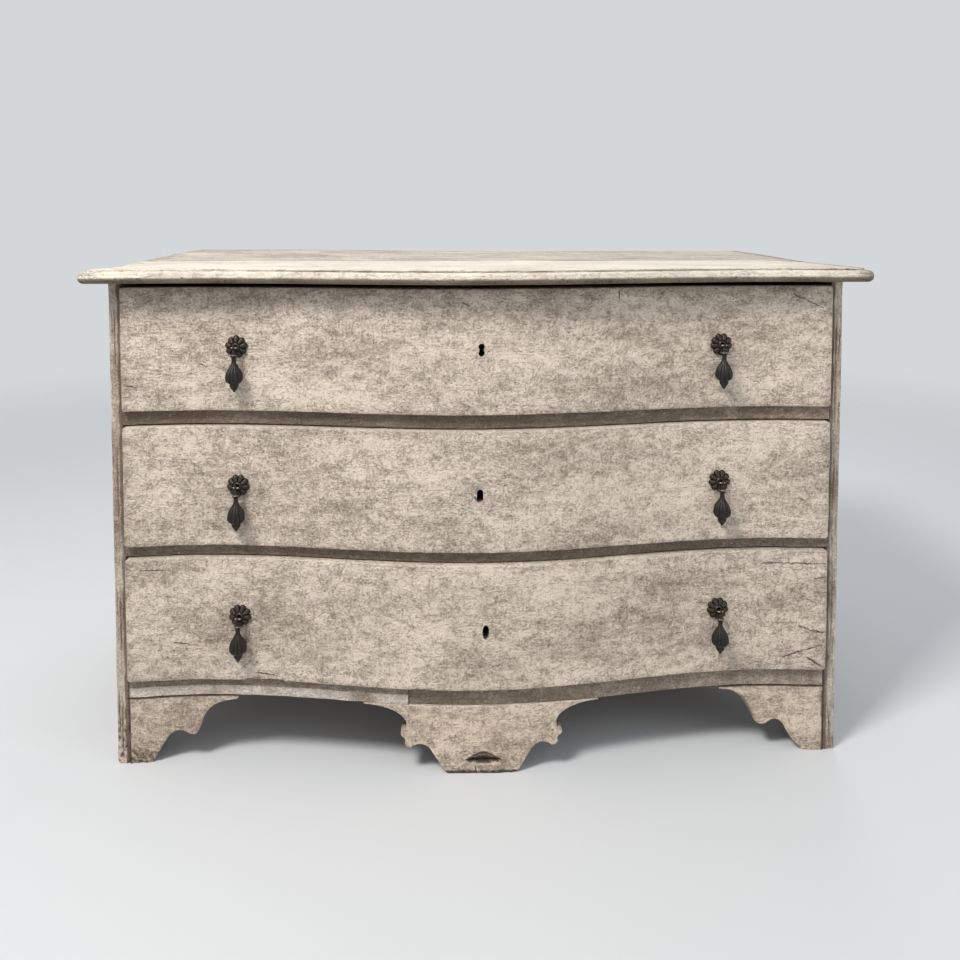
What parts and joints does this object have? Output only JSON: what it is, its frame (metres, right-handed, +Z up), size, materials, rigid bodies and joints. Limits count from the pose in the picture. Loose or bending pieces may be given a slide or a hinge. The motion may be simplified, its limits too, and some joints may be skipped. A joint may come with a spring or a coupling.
{
  "type": "commode chest",
  "caption": "Serpentine-front oak commode with long drawers, hinged drop pulls, keyholes, bracket feet and a shaped pendant under the apron.",
  "frame": {"origin": "on the floor, below the middle of the plan's bounding box", "axes": "+X to the chest's right-hand side seen from the front, +Y to its back, +Z up; drawers open along -Y"},
  "size_m": [1.229, 0.697, 0.8],
  "materials": {
    "limed_oak": "dry-scraped oak, limed grey-white with brown grain showing",
    "bare_oak": "unfinished oak and pine, brown with age",
    "blackened_brass": "cast, blackened, worn slightly bright on the crests",
    "lock_iron": "forged, dark brown patina"
  },
  "bodies": {
    "case": {"top_front_board": "limed_oak", "top_back_board": "limed_oak", "side_left": "limed_oak", "side_right": "limed_oak", "back_upper_plank": "bare_oak", "back_lower_plank": "bare_oak", "bottom_board": "bare_oak", "rail_upper": "limed_oak", "rail_lower": "limed_oak", "base_rail": "limed_oak", "foot_bracket_left": "limed_oak", "foot_bracket_right": "limed_oak", "foot_block_left": "bare_oak", "foot_block_right": "bare_oak", "apron_pendant": "limed_oak", "runner_upper_left": "bare_oak", "runner_upper_right": "bare_oak", "runner_middle_left": "bare_oak", "runner_middle_right": "bare_oak", "runner_lower_left": "bare_oak", "runner_lower_right": "bare_oak"},
    "upper_drawer": {"upper_drawer_front": "limed_oak", "upper_drawer_side_left": "bare_oak", "upper_drawer_side_right": "bare_oak", "upper_drawer_back": "bare_oak", "upper_drawer_bottom": "bare_oak", "upper_lock_case": "lock_iron", "upper_rosette_left": "blackened_brass", "upper_cotter_left": "blackened_brass", "upper_rosette_right": "blackened_brass", "upper_cotter_right": "blackened_brass"},
    "upper_drop_left": {"upper_drop_left": "blackened_brass"},
    "upper_drop_right": {"upper_drop_right": "blackened_brass"},
    "upper_bolt": {"upper_lock_bolt": "lock_iron"},
    "middle_drawer": {"middle_drawer_front": "limed_oak", "middle_drawer_side_left": "bare_oak", "middle_drawer_side_right": "bare_oak", "middle_drawer_back": "bare_oak", "middle_drawer_bottom": "bare_oak", "middle_lock_case": "lock_iron", "middle_rosette_left": "blackened_brass", "middle_cotter_left": "blackened_brass", "middle_rosette_right": "blackened_brass", "middle_cotter_right": "blackened_brass"},
    "middle_drop_left": {"middle_drop_left": "blackened_brass"},
    "middle_drop_right": {"middle_drop_right": "blackened_brass"},
    "middle_bolt": {"middle_lock_bolt": "lock_iron"},
    "lower_drawer": {"lower_drawer_front": "limed_oak", "lower_drawer_side_left": "bare_oak", "lower_drawer_side_right": "bare_oak", "lower_drawer_back": "bare_oak", "lower_drawer_bottom": "bare_oak", "lower_lock_case": "lock_iron", "lower_rosette_left": "blackened_brass", "lower_cotter_left": "blackened_brass", "lower_rosette_right": "blackened_brass", "lower_cotter_right": "blackened_brass"},
    "lower_drop_left": {"lower_drop_left": "blackened_brass"},
    "lower_drop_right": {"lower_drop_right": "blackened_brass"},
    "lower_bolt": {"lower_lock_bolt": "lock_iron"}
  },
  "joints": [
    {"name": "upper_drawer_slide", "type": "slide", "parent": "case", "child": "upper_drawer", "axis": [0, -1, 0], "range_m": [0, 0.42]},
    {"name": "upper_drop_left_hinge", "type": "hinge", "parent": "upper_drawer", "child": "upper_drop_left", "pos_m": [-0.38473, -0.2805, 0.67651], "axis": [-0.9966, 0.0822, 0], "range_deg": [0, 170]},
    {"name": "upper_drop_right_hinge", "type": "hinge", "parent": "upper_drawer", "child": "upper_drop_right", "pos_m": [0.38473, -0.2805, 0.67651], "axis": [-0.9966, -0.0822, 0], "range_deg": [0, 170]},
    {"name": "upper_bolt_slide", "type": "slide", "parent": "upper_drawer", "child": "upper_bolt", "axis": [0, 0, 1], "range_m": [0, 0.017]},
    {"name": "middle_drawer_slide", "type": "slide", "parent": "case", "child": "middle_drawer", "axis": [0, -1, 0], "range_m": [0, 0.42]},
    {"name": "middle_drop_left_hinge", "type": "hinge", "parent": "middle_drawer", "child": "middle_drop_left", "pos_m": [-0.38473, -0.2805, 0.45598], "axis": [-0.9966, 0.0822, 0], "range_deg": [0, 170]},
    {"name": "middle_drop_right_hinge", "type": "hinge", "parent": "middle_drawer", "child": "middle_drop_right", "pos_m": [0.38473, -0.2805, 0.45598], "axis": [-0.9966, -0.0822, 0], "range_deg": [0, 170]},
    {"name": "middle_bolt_slide", "type": "slide", "parent": "middle_drawer", "child": "middle_bolt", "axis": [0, 0, 1], "range_m": [0, 0.011]},
    {"name": "lower_drawer_slide", "type": "slide", "parent": "case", "child": "lower_drawer", "axis": [0, -1, 0], "range_m": [0, 0.42]},
    {"name": "lower_drop_left_hinge", "type": "hinge", "parent": "lower_drawer", "child": "lower_drop_left", "pos_m": [-0.38473, -0.2805, 0.24607], "axis": [-0.9966, 0.0822, 0], "range_deg": [0, 170]},
    {"name": "lower_drop_right_hinge", "type": "hinge", "parent": "lower_drawer", "child": "lower_drop_right", "pos_m": [0.38473, -0.2805, 0.24607], "axis": [-0.9966, -0.0822, 0], "range_deg": [0, 170]},
    {"name": "lower_bolt_slide", "type": "slide", "parent": "lower_drawer", "child": "lower_bolt", "axis": [0, 0, 1], "range_m": [0, 0.011]}
  ]
}
